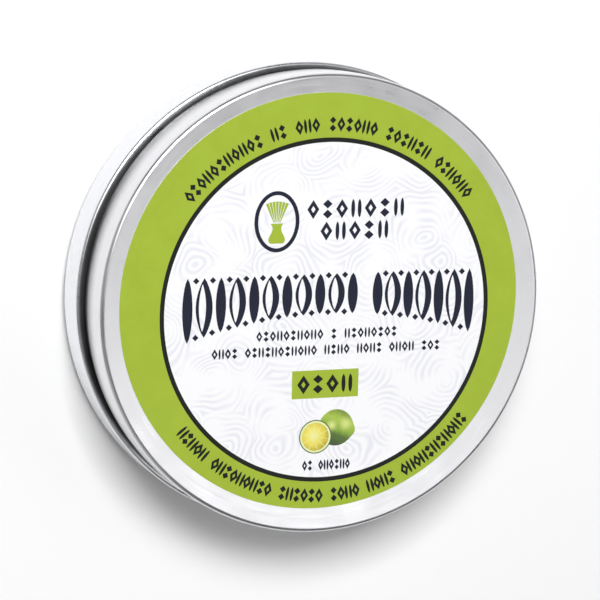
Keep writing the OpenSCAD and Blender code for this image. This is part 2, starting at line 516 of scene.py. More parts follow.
# %% [markdown]
# ## The sheet's outline
#
# Both halves of the tin are round sheets, so each is one thin outline turned about the axis. The
# outline is walked like the strip itself: along a straight, round a bend, along the next straight,
# with the outer face and the inner face kept one sheet thickness apart. Bends are arcs given by
# a middle, a radius and two angles. A straight gets an extra point close to each end, so that
# the shading of a flat panel isn't pulled round by the bend beside it.

# %% Walking a strip of sheet
SHEET = 0.4
ARC_STEP = 8.0
GUARD = 0.15
SAME_POINT = 1e-6


def arc(middle, radius, start, end):
    """Points on an arc, angles in degrees, anticlockwise if end is more than start."""
    steps = max(2, math.ceil(abs(end - start) / ARC_STEP))
    angles = [math.radians(start + (end - start) * k / steps) for k in range(steps + 1)]
    return [(middle[0] + radius * math.cos(a), middle[1] + radius * math.sin(a)) for a in angles]


def bend(middle, outer, inner, start, end):
    """A bend of the sheet: its outer face's points and its inner face's points."""
    return arc(middle, outer, start, end), arc(middle, inner, start, end)


def guarded(points):
    """The same line, with a point added close to each end of every long straight."""
    line = [points[0]]
    for a, b in zip(points, points[1:]):
        length = math.dist(a, b)
        if length > 3 * GUARD:
            share = GUARD / length
            line += [tuple(a[k] + (b[k] - a[k]) * s for k in (0, 1)) for s in (share, 1 - share)]
        if length > SAME_POINT:
            line.append(b)
    return line


def sheet_outline(stretches, end_cap=()):
    """Closes a strip made of bends: out along the outer face, over the end, back along the inner."""
    outer = [p for stretch in stretches for p in stretch[0]]
    inner = [p for stretch in stretches for p in stretch[1]]
    return guarded(outer) + list(end_cap) + guarded(inner[::-1])


# %% [markdown]
# ## The lathe
#
# Turning an outline about an axis is what a lathe does, and Curve to Mesh does the same when its
# path is a circle. Spin or the Screw modifier would also do it. The tree is used here because
# six pieces share it, each with its own outline and its own count of segments. The points that
# lie on the axis fall together at the poles, where Merge by Distance closes them.

# %% A lathe as a tree
PATH_RADIUS = 20.0

lathe, given = new_tree("lathe", count=["Segments"], number=["Path radius"])
path = add(lathe, "GeometryNodeCurvePrimitiveCircle", {
    "Resolution": given["Segments"], "Radius": given["Path radius"]})
outline_curve = add(lathe, "GeometryNodeMeshToCurve", {"Mesh": given["Seed"]})
turned = add(lathe, "GeometryNodeCurveToMesh", {"Curve": path, "Profile Curve": outline_curve})
closed = add(lathe, "GeometryNodeMergeByDistance", {"Geometry": turned, "Distance": 1e-7})
close_sweep(lathe, closed, given["Finish"])


def turn_on_lathe(outline, finish, segments=240):
    """A mesh turned from an outline of (radius, height) points in mm, drawn anticlockwise."""
    return grow(lathe, seed_outline(outline, PATH_RADIUS), {
        "Segments": segments, "Path radius": PATH_RADIUS * MM, "Finish": finish})


# %% [markdown]
# ## The base
#
# The base is drawn in one press: a panel raised under the middle, a foot ring that it stands
# on, a rounded corner, the wall, a shoulder, and a narrower neck that carries the thread. The
# top of the neck is curled over into a bead, so that nobody meets a cut edge. The panel is
# raised so that the ingredients label under it doesn't rub on the shelf.

# %% Base outline and piece
FOOT_CORNER = 3.2
RECESS = 0.8
RECESS_R = 38.9
NECK_R = 40.5
SHOULDER_BEND = 0.6
ROOT_BEND = 0.8
BEAD_R = 0.55
BEAD_INSET = 0.15

wall_r = base_high.x
small = (RECESS + SHEET) / 2
foot_in = RECESS_R + 2 * small - SHEET
foot_out = wall_r - FOOT_CORNER
shoulder_out = wall_r - SHOULDER_BEND
bead = (NECK_R - BEAD_INSET, base_high.z - BEAD_R)
outer_meet = math.degrees(math.asin(BEAD_INSET / BEAD_R))
inner_meet = math.degrees(math.asin((SHEET - BEAD_INSET) / BEAD_R))
lip = arc(bead, BEAD_R, outer_meet - 90, 270 - inner_meet)

base_outline = sheet_outline([
    ([(0, RECESS)], [(0, RECESS + SHEET)]),
    bend((RECESS_R, small), small - SHEET, small, 90, 0),
    bend((foot_in, small), small, small - SHEET, 180, 270),
    bend((foot_out, FOOT_CORNER), FOOT_CORNER, FOOT_CORNER - SHEET, 270, 360),
    bend((shoulder_out, SHOULDER_Z - SHOULDER_BEND), SHOULDER_BEND, SHOULDER_BEND - SHEET, 0, 90),
    bend((NECK_R + ROOT_BEND, SHOULDER_Z + ROOT_BEND), ROOT_BEND, ROOT_BEND + SHEET, 270, 180),
    ([(NECK_R, lip[0][1])], [(NECK_R - SHEET, lip[-1][1])]),
], end_cap=lip[1:-1])
join_body("base_shell", turn_on_lathe(base_outline, base_metal, segments=288),
          "base", "base_aluminium", "tin_base")

# %% [markdown]
# ## The lid
#
# The lid is the same sheet, pressed into a shallow cup. Its skirt runs straight down and then
# leans in, and its lower edge is rolled under and up again into an inner band. The thread is in
# that band, so the skirt outside stays smooth. The rolled edge makes the dark groove round the
# tin, because its underside faces away from the light, and painted shade on the lower skirt
# deepens it.

# %% Lid outline and piece
LID_EDGE = 0.9
LEAN_R = 30.0
LEAN = 11.5
CURL_R = 0.75
BAND_HEIGHT = 8.4

lid_r = lid_high.x
lean_x = lid_r - LEAN_R
curl = (lean_x + (LEAN_R - CURL_R) * math.cos(math.radians(LEAN)), lid_low.z + CURL_R)
lean_z = curl[1] + (LEAN_R - CURL_R) * math.sin(math.radians(LEAN))
band_r = curl[0] - CURL_R
band_top = curl[1] + BAND_HEIGHT

# Listed from the panel round to the band's cut edge, the strip runs clockwise, so it is reversed.
lid_outline = sheet_outline([
    ([(0, lid_high.z)], [(0, lid_high.z - SHEET)]),
    bend((lid_r - LID_EDGE, lid_high.z - LID_EDGE), LID_EDGE, LID_EDGE - SHEET, 90, 0),
    bend((lean_x, lean_z), LEAN_R, LEAN_R - SHEET, 0, -LEAN),
    bend(curl, CURL_R, CURL_R - SHEET, -LEAN, -180),
    ([(band_r, band_top)], [(band_r + SHEET, band_top)]),
])[::-1]
join_body("lid_shell", turn_on_lathe(lid_outline, lid_metal, segments=288),
          "lid", "lid_aluminium", "tin_lid")

# %% [markdown]
# ## The threads
#
# A thread on a tin isn't cut: a roller presses a ridge into the sheet, so it has a round back and
# soft flanks, and it runs out to nothing at both ends. It follows a helix, so a tree sweeps a
# bell-shaped section along a spiral, and shrinks the section near the ends. The neck has a turn
# and a quarter, and the lid's inner band has one turn, half a pitch lower, which catches under it.

# %% A ridge swept along a helix
THREAD_PITCH = 3.5
THREAD_HEIGHT = 0.45
RIDGE_SUNK = 0.15
CREST_HALF = 0.3
FOOT_HALF = 0.95
FLANK_STEPS = 6
RUN_OUT_TURNS = 0.08
END_SIZE = 0.06
POINTS_PER_TURN = 144
THREAD_START = 2.7

ridge_tree, given = new_tree(
    "thread_ridge", number=["Wall radius", "Turns", "Pitch", "Run-out turns"], count=["Points per turn"])
climb = add(ridge_tree, "ShaderNodeMath", [given["Turns"], given["Pitch"]], operation="MULTIPLY")
# The spiral runs clockwise unless it is reversed, which would make the thread left-handed.
helix = add(ridge_tree, "GeometryNodeCurveSpiral", {
    "Resolution": given["Points per turn"], "Rotations": given["Turns"],
    "Start Radius": given["Wall radius"], "End Radius": given["Wall radius"],
    "Height": climb, "Reverse": True})
upright = add(ridge_tree, "GeometryNodeSetCurveNormal", {"Curve": helix}, mode="Z_UP")
along = add(ridge_tree, "GeometryNodeSplineParameter").outputs["Factor"]
share = add(ridge_tree, "ShaderNodeMath", [given["Turns"], given["Run-out turns"]], operation="DIVIDE")
to_end = add(ridge_tree, "ShaderNodeMath", [1.0, along], operation="SUBTRACT")
nearest = add(ridge_tree, "ShaderNodeMath", [along, to_end], operation="MINIMUM")
ends = add(ridge_tree, "ShaderNodeMath", [nearest, share], operation="MULTIPLY")
fade = add(ridge_tree, "ShaderNodeMapRange", {"Value": ends, "To Min": END_SIZE},
           interpolation_type="SMOOTHSTEP")
section = add(ridge_tree, "GeometryNodeMeshToCurve", {"Mesh": given["Seed"]})
swept = add(ridge_tree, "GeometryNodeCurveToMesh", {
    "Curve": upright, "Profile Curve": section, "Scale": fade, "Fill Caps": True})
close_sweep(ridge_tree, swept, given["Finish"])


# %% The two ridges
def bell_section(side):
    """The ridge's section, round the wall's face at 0; side is +1 outwards and -1 inwards."""
    upper = [(THREAD_HEIGHT * (0.5 + 0.5 * math.cos(math.pi * k / FLANK_STEPS)),
              CREST_HALF + (FOOT_HALF - CREST_HALF) * k / FLANK_STEPS) for k in range(FLANK_STEPS + 1)]
    lower = [(h, -y) for h, y in upper[::-1]]
    face = [(-RIDGE_SUNK, -FOOT_HALF)] + lower + upper + [(-RIDGE_SUNK, FOOT_HALF)]
    return face if side > 0 else [(-x, y) for x, y in face[::-1]]


def thread(wall_radius, side, start_z, turns, finish):
    """A thread ridge that starts at start_z, over the X axis, and climbs anticlockwise."""
    mesh = grow(ridge_tree, seed_outline(bell_section(side)), {
        "Wall radius": wall_radius * MM, "Turns": turns, "Pitch": THREAD_PITCH * MM,
        "Run-out turns": RUN_OUT_TURNS, "Points per turn": POINTS_PER_TURN, "Finish": finish},
        sharp_angle=60)
    mesh.transform(Matrix.Translation((0, 0, start_z * MM)))
    return mesh


neck_thread_z = SHOULDER_Z + ROOT_BEND + THREAD_START
join_body("neck_thread", thread(NECK_R, 1, neck_thread_z, 1.25, base_metal), "base", "base_aluminium")
join_body("lid_thread", thread(band_r, -1, neck_thread_z - THREAD_PITCH / 2, 1.0, lid_metal),
          "lid", "lid_aluminium")

# %% [markdown]
# ## The cake of soap
#
# The soap is poured in warm, so it fills the base up to its corners, climbs a little where it
# wets the wall, and sinks a little in the middle as it sets. Its top then has low, broad
# ripples. The lathe gives the cake, and a second small tree moves only its top with noise, which
# fades out near the wall. A sculpted mesh would do as well, but noise is the same on each run.

# %% A tree for the top of a pour
NOISE_MIDDLE = 0.62

pour, given = new_tree("poured_top", number=[
    "Top from", "Wall radius", "Calm width", "Ripple height", "Ripple width"])
place = add(pour, "GeometryNodeInputPosition")
level = add(pour, "ShaderNodeVectorMath", [place, (1, 1, 0)], operation="MULTIPLY")
out = add(pour, "ShaderNodeVectorMath", [level], operation="LENGTH").outputs["Value"]
up = add(pour, "ShaderNodeSeparateXYZ", [place]).outputs["Z"]
scale = add(pour, "ShaderNodeMath", [1.0, given["Ripple width"]], operation="DIVIDE")
noise = add(pour, "ShaderNodeTexNoise", {
    "Vector": place, "Scale": scale, "Detail": 2.0, "Distortion": 1.2})
around_zero = add(pour, "ShaderNodeMath", [noise, NOISE_MIDDLE], operation="SUBTRACT")
is_top = add(pour, "ShaderNodeMath", [up, given["Top from"]], operation="GREATER_THAN")
inset = add(pour, "ShaderNodeMath", [given["Wall radius"], given["Calm width"]], operation="SUBTRACT")
calm = add(pour, "ShaderNodeMapRange", {
    "Value": out, "From Min": given["Wall radius"], "From Max": inset}, interpolation_type="SMOOTHSTEP")
lift = add(pour, "ShaderNodeMath", [around_zero, given["Ripple height"]], operation="MULTIPLY")
lift = add(pour, "ShaderNodeMath", [lift, calm], operation="MULTIPLY")
offset = add(pour, "ShaderNodeCombineXYZ", {2: lift})
moved = add(pour, "GeometryNodeSetPosition", {
    "Geometry": given["Seed"], "Selection": is_top, "Offset": offset})
close_tree(pour, moved, given["Finish"])

# %% Soap outline and piece
PLAY = 0.05
SOAP_DIP = 0.55
MENISCUS = 1.6
TOP_RING = 0.9
RIPPLE_HEIGHT, RIPPLE_WIDTH, CALM_WIDTH = 0.9, 16, 4
CORNER_CUT = 0.25
ABOVE_SHOULDER = 5

soap_neck_r = NECK_R - SHEET - PLAY
under_shoulder = SHOULDER_Z - SHEET - PLAY
over_panel = RECESS + SHEET + PLAY
corner = arc((foot_out, FOOT_CORNER), FOOT_CORNER - SHEET - PLAY, 270, 360)
soap_top = [(float(r), soap_high.z - SOAP_DIP * (1 - math.exp((r - soap_neck_r) / MENISCUS)))
            for r in np.arange(soap_neck_r, TOP_RING, -TOP_RING)]
soap_outline = guarded([
    (0, over_panel), (foot_in + PLAY, over_panel), *corner, (soap_high.x, under_shoulder - CORNER_CUT),
    (shoulder_out, under_shoulder), (soap_neck_r, under_shoulder), soap_top[0],
]) + soap_top[1:] + [(0, soap_top[-1][1])]
soap_form = turn_on_lathe(soap_outline, soap_finish, segments=192)
soap_cake = grow(pour, soap_form, {
    "Top from": (under_shoulder + ABOVE_SHOULDER) * MM, "Wall radius": soap_neck_r * MM,
    "Calm width": CALM_WIDTH * MM, "Ripple height": RIPPLE_HEIGHT * MM,
    "Ripple width": RIPPLE_WIDTH * MM, "Finish": soap_finish})
join_body("soap_cake", soap_cake, "base", "soap", "soap_puck")

# %% [markdown]
# ## The foam liner
#
# A disc punched from EPE foam sheet lies loose under the lid's panel. The bead on the neck has
# pressed a ring into its underside, which is how a used liner is told from a new one. The ring
# is part of the outline, so the lathe makes it.

# %% Liner outline and piece
PRESSED = 0.13
LINER_CORNER = 0.25

liner_in = liner_high.x - LINER_CORNER
pressed_ring = [(bead[0] + x, liner_low.z + PRESSED * math.cos(math.pi / 2 * x / BEAD_R))
                for x in (-0.55, -0.4, -0.2, 0.0, 0.2, 0.4, 0.55)]
liner_outline = guarded([
    (0, liner_low.z), *pressed_ring,
    *arc((liner_in, liner_low.z + LINER_CORNER), LINER_CORNER, 270, 360),
    *arc((liner_in, liner_high.z - LINER_CORNER), LINER_CORNER, 0, 90),
    (0, liner_high.z)])
foam_liner = join_body("foam_liner", turn_on_lathe(liner_outline, foam_finish, segments=192),
                       "liner", "liner_foam", "lid_liner")

# %% [markdown]
# ## The two labels' sheets
#
# Each label is a die-cut disc. Both come off the lathe too, and the lid label is then
# moved to where its maker stuck it: half a millimetre left and a little up.

# %% Label sheets
FILM = 0.08
DIE_ROUND = 0.015

film_r = (label_high.x - label_low.x) / 2
film_middle = (label_low + label_high) / 2
film_top = label_low.z + FILM
film_outline = guarded([
    (0, label_low.z), (film_r, label_low.z), (film_r, film_top - DIE_ROUND),
    (film_r - DIE_ROUND, film_top), (0, film_top)])
label_film = turn_on_lathe(film_outline, white_vinyl)
label_film.transform(Matrix.Translation((film_middle.x * MM, film_middle.y * MM, 0)))
join_body("label_film", label_film, "lid", "lid_label_vinyl", "lid_label")

paper_outline = guarded([
    (0, paper_low.z), (paper_high.x, paper_low.z), (paper_high.x, paper_high.z), (0, paper_high.z)])
join_body("ingredients_label", turn_on_lathe(paper_outline, paper_finish),
          "base", "base_label_paper", "base_label")

# %% [markdown]
# ## Printing
#
# The print is laid out in millimetres about its own middle, with Y towards the top of the
# label, and then set on the film as one. It was printed a little out of register with the die,
# so its middle is not the film's middle, and the whole label is turned by two degrees. Each ink is
# a plate about 0.02 mm thick, which is what a screen printer lays down. A plate is an outline
# given thickness, so it is a closed solid like every other piece.

# %% Plates of ink
PRINT_MIDDLE = (0.53, -1.02)
PRINT_TURN = math.radians(2.2)
INK_LOW = -0.01
INK_ON_FILM = 0.014
INK_ON_INK = 0.03

# Heights in the print are measured from the film's face, so each ink starts just inside it.
on_lid = (Matrix.Scale(MM, 4) @ Matrix.Translation((*PRINT_MIDDLE, film_top))
          @ Matrix.Rotation(PRINT_TURN, 4, "Z"))
on_base = (Matrix.Scale(MM, 4) @ Matrix.Translation((0, 0, paper_low.z))
           @ Matrix.Rotation(math.pi, 4, "X"))


def plate(outline, hole=(), top=INK_ON_FILM, low=INK_LOW):
    """The vertices and faces of a plate; a hole has as many points as the outline."""
    n = len(outline)
    points = [(x, y, z) for ring in (outline, hole) for z in (low, top) for x, y in ring]
    around = [(k, (k + 1) % n) for k in range(n)]
    faces = [(a, b, n + b, n + a) for a, b in around]
    if not hole:
        return points, faces + [tuple(range(n - 1, -1, -1)), tuple(range(n, 2 * n))]
    faces += [(3 * n + a, 3 * n + b, 2 * n + b, 2 * n + a) for a, b in around]
    faces += [(n + a, n + b, 3 * n + b, 3 * n + a) for a, b in around]
    faces += [(2 * n + a, 2 * n + b, b, a) for a, b in around]
    return points, faces


def plates(parts):
    """One mesh of several plates, in print millimetres."""
    points, faces = [], []
    for part_points, part_faces in parts:
        faces += [tuple(len(points) + v for v in face) for face in part_faces]
        points += part_points
    mesh = bpy.data.meshes.new("plates")
    mesh.from_pydata(points, [], faces)
    return mesh


def oval(middle, half_w, half_h, points=64):
    steps = [2 * math.pi * k / points for k in range(points)]
    return [(middle[0] + half_w * math.cos(a), middle[1] + half_h * math.sin(a)) for a in steps]


def printed(name, mesh, body="lid", slot="lid_label_vinyl", where=on_lid):
    """Sets a print mesh in its place on the tin."""
    mesh.transform(where)
    join_body(name, mesh, body, slot)


def print_plates(name, parts, finish, **place):
    """Prints plates as one piece in one ink."""
    mesh = plates(parts)
    mesh.materials.append(finish)
    printed(name, mesh, **place)


# %% The green border and the dark ring inside it
RING_IN, RING_OUT = 31.9, 32.75
EDGE_MARGIN = 0.02
FINE = 240

turn_back = Matrix.Rotation(-PRINT_TURN, 2)
film_in_print = turn_back @ Vector((film_middle.x - PRINT_MIDDLE[0], film_middle.y - PRINT_MIDDLE[1]))
border_r = film_r - EDGE_MARGIN
ring_middle = (RING_IN + RING_OUT) / 2
print_plates("green_border", [
    plate(oval(film_in_print, border_r, border_r, FINE),
          oval((0, 0), ring_middle, ring_middle, FINE))], green_ink)
print_plates("dark_ring", [
    plate(oval((0, 0), RING_OUT, RING_OUT, FINE), oval((0, 0), RING_IN, RING_IN, FINE),
          top=INK_ON_FILM + 0.006)], black_ink)

# %% [markdown]
# ## Lines of marks in place of wording
#
# A maker's wording has no place on a shared part, but its rhythm does: without those grey lines
# the label would look empty. So each line of wording becomes a line of small marks of the same
# height, weight and spacing, in groups as long as words. There are three marks, none of them a
# letter: an open lozenge, a pair of spindles and a pair of stacked lozenges. A tree sets them
# on the points of a seed mesh, where each point says which mark it takes and how far it turns.

# %% Shapes of the marks
def lozenge(half_w, half_h, middle=(0, 0)):
    x, y = middle
    return [(x + half_w, y), (x, y + half_h), (x - half_w, y), (x, y - half_h)]


def leaf(half_w, half_h, middle=(0, 0), steps=8, fullness=0.8):
    """A leaf that is pointed at its head and foot."""
    rows = [k / steps for k in range(steps + 1)]
    side = [(half_w * math.sin(math.pi * t) ** fullness, half_h * (2 * t - 1)) for t in rows]
    both = side[:-1] + [(-x, y) for x, y in side[:0:-1]]
    return [(middle[0] + x, middle[1] + y) for x, y in both]


def shape_object(name, parts):
    """A passing object that a tree can set many times over."""
    return to_scene(bpy.data.objects.new(name, plates(parts)))


def mark_shapes(width, height, stroke, top):
    """The three marks at one size."""
    half_w, half_h = width / 2, height / 2
    slant = math.hypot(half_w, half_h)
    hole = lozenge(half_w - stroke * slant / half_h, half_h - stroke * slant / half_w)
    spindles = [leaf(stroke * 0.6, half_h, (side * half_w * 0.55, 0), fullness=0.45) for side in (-1, 1)]
    stacked = [lozenge(half_w * 0.8, half_h * 0.47, (0, side * half_h * 0.53)) for side in (-1, 1)]
    return [shape_object("open_lozenge", [plate(lozenge(half_w, half_h), hole, top)]),
            shape_object("spindles", [plate(s, top=top) for s in spindles]),
            shape_object("stacked_lozenges", [plate(s, top=top) for s in stacked])]


# %% A tree that sets marks on points
MARKS = ("First mark", "Second mark", "Third mark")

setter, given = new_tree("set_marks", shape=MARKS)
tray = add(setter, "GeometryNodeJoinGeometry")
for mark in [add(setter, "GeometryNodeObjectInfo", {"Object": given[key], "As Instance": True})
             for key in MARKS]:
    setter.links.new(mark.outputs["Geometry"], tray.inputs[0])
pick = add(setter, "GeometryNodeInputNamedAttribute", {"Name": "pick"}, data_type="INT")
turn = add(setter, "GeometryNodeInputNamedAttribute", {"Name": "turn"}, data_type="FLOAT")
placed = add(setter, "GeometryNodeInstanceOnPoints", {
    "Points": given["Seed"], "Instance": tray, "Pick Instance": True, "Instance Index": pick,
    "Rotation": add(setter, "ShaderNodeCombineXYZ", {2: turn})})
close_tree(setter, placed, given["Finish"])


# %% Lines of marks, straight or round a circle
def straight_line(words, length, middle):
    """The points of one line: (x, y, turn) for each mark, with one empty place between words."""
    places = "_".join("x" * count for count in words)
    pitch = length / len(places)
    return [(middle[0] + (k + 0.5) * pitch - length / 2, middle[1], 0.0)
            for k, place in enumerate(places) if place == "x"]


def round_line(words, start, end, radius):
    """The same line bent round a circle, between two angles, with its marks across the line."""
    swing = math.radians(end - start)
    line = straight_line(words, 1.0, (0.5, 0))
    angles = [math.radians(start) + x * swing for x, _, _ in line]
    return [(radius * math.cos(a), radius * math.sin(a), a - math.pi / 2) for a in angles]


MARK_SEED = 12


def set_marks(name, lines, shapes, finish, **place):
    """Sets marks along lines and keeps the result as one printed piece."""
    points = [p for line in lines for p in line]
    seed = seed_mesh([(x, y, 0) for x, y, _ in points])
    # Each mark differs from the one before it, so no run of one mark reads as a stripe.
    steps = np.random.default_rng(MARK_SEED).integers(1, 3, len(points))
    seed.attributes.new("pick", "INT", "POINT").data.foreach_set("value", np.cumsum(steps) % 3)
    seed.attributes.new("turn", "FLOAT", "POINT").data.foreach_set("value", [t for _, _, t in points])
    mesh = grow(setter, seed, {**dict(zip(MARKS, shapes)), "Finish": finish})
    for shape in shapes:
        bpy.data.objects.remove(shape)
    printed(name, mesh, **place)


# %% The lines on the lid label
BORDER_RADIUS = 35.25

set_marks("border_marks", [
    round_line((11, 2, 3, 6, 6, 6), 142, 36.6, BORDER_RADIUS),
    round_line((5, 9, 6, 4, 4, 11), -143, -36.7, BORDER_RADIUS + 0.2)],
    mark_shapes(1.6, 2.8, 0.46, INK_ON_INK), black_ink)
set_marks("maker_marks", [
    straight_line((7,), 20.0, (5.5, 19.3)),
    straight_line((5,), 14.2, (5.3, 15.15))],
    mark_shapes(2.35, 3.6, 0.62, INK_ON_FILM), title_ink)
set_marks("copy_marks", [
    straight_line((10, 1, 8), 28.3, (0.25, -4.4)),
    straight_line((4, 11, 4, 4, 4, 3), 45.8, (0.3, -7.4))],
    mark_shapes(1.25, 2.05, 0.33, INK_ON_FILM), title_ink)
set_marks("weight_marks", [straight_line((2, 6), 9.7, (0.65, -29.55))],
          mark_shapes(1.05, 2.1, 0.32, INK_ON_FILM), title_ink)

# %% [markdown]
# ## The title
#
# The title is the boldest thing on the label: two groups whose heads stand on a straight line
# and whose feet follow an arch. It becomes a garland of upright leaves, open and solid in turn,
# with beads between them. One tree sets a row of shapes between a line and an arch, and each
# group uses it three times: for stretched leaves from line to arch, for beads on the line and
# for beads on the arch.

# %% A tree for a row between a line and an arch
ARCH = {"Line": 7.1, "Arch top": -0.55, "Arch drop": 4.9, "Arch middle": 0.7, "Arch half": 29.0}

row, given = new_tree("arched_row", number=["First", "Last", "Share", "Stretch", *ARCH],
                      count=["Count"], shape=["Odd shape", "Even shape"])
start = add(row, "ShaderNodeCombineXYZ", {0: given["First"]})
stop = add(row, "ShaderNodeCombineXYZ", {0: given["Last"]})
line = add(row, "GeometryNodeMeshLine", {
    "Count": given["Count"], "Start Location": start, "Offset": stop}, mode="END_POINTS")
x = add(row, "ShaderNodeSeparateXYZ", [add(row, "GeometryNodeInputPosition")])
from_middle = add(row, "ShaderNodeMath", [x, given["Arch middle"]], operation="SUBTRACT")
span = add(row, "ShaderNodeMath", [from_middle, given["Arch half"]], operation="DIVIDE")
square = add(row, "ShaderNodeMath", [span, 2.0], operation="POWER")
drop = add(row, "ShaderNodeMath", [square, given["Arch drop"]], operation="MULTIPLY")
foot = add(row, "ShaderNodeMath", [given["Arch top"], drop], operation="SUBTRACT")
tall = add(row, "ShaderNodeMath", [given["Line"], foot], operation="SUBTRACT")
level = add(row, "ShaderNodeMath", [tall, given["Share"], foot], operation="MULTIPLY_ADD")
lifted = add(row, "GeometryNodeSetPosition", {
    "Geometry": line, "Offset": add(row, "ShaderNodeCombineXYZ", {1: level})})
grown_by = add(row, "ShaderNodeMath", [tall, given["Stretch"]], operation="POWER")
size = add(row, "ShaderNodeCombineXYZ", [1.0, grown_by, 1.0])
index = add(row, "GeometryNodeInputIndex")
parity = add(row, "ShaderNodeMath", [index, 2.0], operation="MODULO")
pair = add(row, "GeometryNodeJoinGeometry")
for key in ("Odd shape", "Even shape"):
    shape = add(row, "GeometryNodeObjectInfo", {"Object": given[key], "As Instance": True})
    row.links.new(shape.outputs["Geometry"], pair.inputs[0])
placed = add(row, "GeometryNodeInstanceOnPoints", {
    "Points": lifted, "Instance": pair, "Pick Instance": True, "Instance Index": parity, "Scale": size})
close_tree(row, placed, given["Finish"])


# %% The garland
def arched_row(name, first, last, count, share, stretch, odd, even):
    printed(name, grow(row, seed_mesh([]), {
        **ARCH, "First": first, "Last": last, "Count": count, "Share": share, "Stretch": stretch,
        "Odd shape": odd, "Even shape": even, "Finish": title_ink}))


open_leaf = shape_object("open_leaf", [
    plate(leaf(1.65, 0.5, steps=14), leaf(0.7, 0.4, (-0.34, 0), steps=14))])
solid_leaf = shape_object("solid_leaf", [plate(leaf(1.0, 0.5, steps=14, fullness=0.6))])
bead_dot = shape_object("bead", [plate(lozenge(0.62, 0.62))])
for side, first, last, count in (("left", -27.4, 5.2, 11), ("right", 10.2, 28.8, 7)):
    half_pitch = (last - first) / (count - 1) / 2
    arched_row(f"title_leaves_{side}", first, last, count, 0.5, 1.0, open_leaf, solid_leaf)
    for line_name, share in (("head", 0.955), ("foot", 0.045)):
        arched_row(f"title_{line_name}_beads_{side}", first + half_pitch, last - half_pitch, count - 1,
                   share, 0.0, bead_dot, bead_dot)
for shape in (open_leaf, solid_leaf, bead_dot):
    bpy.data.objects.remove(shape)

# %% [markdown]
# ## Badge and banner
#
# Left of the top lines stands a badge. Here it is an oval frame with a shaving brush in it: a
# turned handle and a fan of bristle tufts. The tufts, and further down the segments of a cut lime,
# are one shape set round a point, so a single tree makes both. The banner under the lines is a
# plain green block with four bold marks.

# %% A tree that sets a shape round a point
spokes, given = new_tree("spokes", count=["Count"], number=["From", "Step"], shape=["Shape"])
hub = add(spokes, "GeometryNodeMeshLine", {"Count": given["Count"], "Offset": (0, 0, 0)})
spoke_index = add(spokes, "GeometryNodeInputIndex")
angle = add(spokes, "ShaderNodeMath", [spoke_index, given["Step"], given["From"]],
            operation="MULTIPLY_ADD")
shape = add(spokes, "GeometryNodeObjectInfo", {"Object": given["Shape"], "As Instance": True})
placed = add(spokes, "GeometryNodeInstanceOnPoints", {
    "Points": hub, "Instance": shape.outputs["Geometry"],
    "Rotation": add(spokes, "ShaderNodeCombineXYZ", {2: angle})})
close_tree(spokes, placed, given["Finish"])


def set_round(name, outline, top, middle, count, first, step, finish):
    """Sets a plate round a point of the print, angles in degrees, as one printed piece."""
    shape = shape_object("spoke", [plate(outline, top=top)])
    mesh = grow(spokes, seed_mesh([]), {
        "Count": count, "From": math.radians(first), "Step": math.radians(step), "Shape": shape,
        "Finish": finish})
    bpy.data.objects.remove(shape)
    mesh.transform(Matrix.Translation((*middle, 0)))
    printed(name, mesh)


def wedge(inner, outer, angle, gap):
    """A slice of a ring that points along X, angle degrees wide, less a gap on its two sides."""
    edge = [math.asin(gap / 2 / r) for r in (inner, outer)]
    half = math.radians(angle) / 2
    arcs = [(inner, half - edge[0], edge[0] - half), (outer, edge[1] - half, half - edge[1])]
    return [(r * math.cos(start + (stop - start) * k / 5), r * math.sin(start + (stop - start) * k / 5))
            for r, start, stop in arcs for k in range(6)]


# %% Badge
BADGE = (-10.2, 17.2)
BADGE_HALF = (4.43, 5.75)
FRAME_STROKE = 0.75
BRUSH_FOOT = BADGE[1] - 4.1
COLLAR_Y = BADGE[1] - 0.35
HANDLE_HALF_WIDTHS = (1.25, 1.6, 1.15, 0.85, 1.3)
TUFTS = 7
TUFT_IN, TUFT_OUT, TUFT_STEP, TUFT_LIFT = 1.7, 5.6, 6.9, 0.25

def turned_profile(low, high, widths):
    """A profile that is the same on both sides, smoothed through its half widths."""
    spots = np.linspace(0, 1, len(widths))
    curve = np.polynomial.Polynomial.fit(spots, widths, len(widths) - 1)
    right = [(BADGE[0] + float(curve(t)), low + (high - low) * float(t)) for t in np.linspace(0, 1, 25)]
    return right + [(2 * BADGE[0] - x, y) for x, y in right[::-1]]


print_plates("badge_frame", [
    plate(oval(BADGE, *BADGE_HALF), oval(BADGE, *(h - FRAME_STROKE for h in BADGE_HALF)))], title_ink)
print_plates("brush_handle", [
    plate(turned_profile(BRUSH_FOOT, COLLAR_Y, HANDLE_HALF_WIDTHS))], green_ink)
set_round("brush_tufts", wedge(TUFT_IN, TUFT_OUT, TUFT_STEP, gap=0.1), INK_ON_FILM,
          (BADGE[0], COLLAR_Y - TUFT_IN + TUFT_LIFT), TUFTS, 90 - TUFTS // 2 * TUFT_STEP, TUFT_STEP,
          green_ink)

# %% Banner
BANNER = (0.1, -13.95)
BANNER_HALF = (6.65, 2.68)

print_plates("banner", [plate([
    (BANNER[0] + sx * BANNER_HALF[0], BANNER[1] + sy * BANNER_HALF[1]) for sx, sy in SQUARE])], green_ink)
set_marks("banner_marks", [straight_line((4,), 11.6, BANNER)],
          mark_shapes(2.5, 3.6, 0.66, INK_ON_INK), black_ink)

# %% [markdown]
# ## The lime
#
# The lime is drawn by this script: a whole fruit behind and a cut half in front. A drawn fruit
# needs shade to look round, so its inks aren't flat. The skin goes from a dark green underside
# through lime green to two pale yellow lights, and the flesh goes from a light middle to an olive
# rim. Both are read from the point's distance and direction from the fruit's own middle, which a
# Mapping node sets at nought, so the shading stays on the fruit when the lid turns.

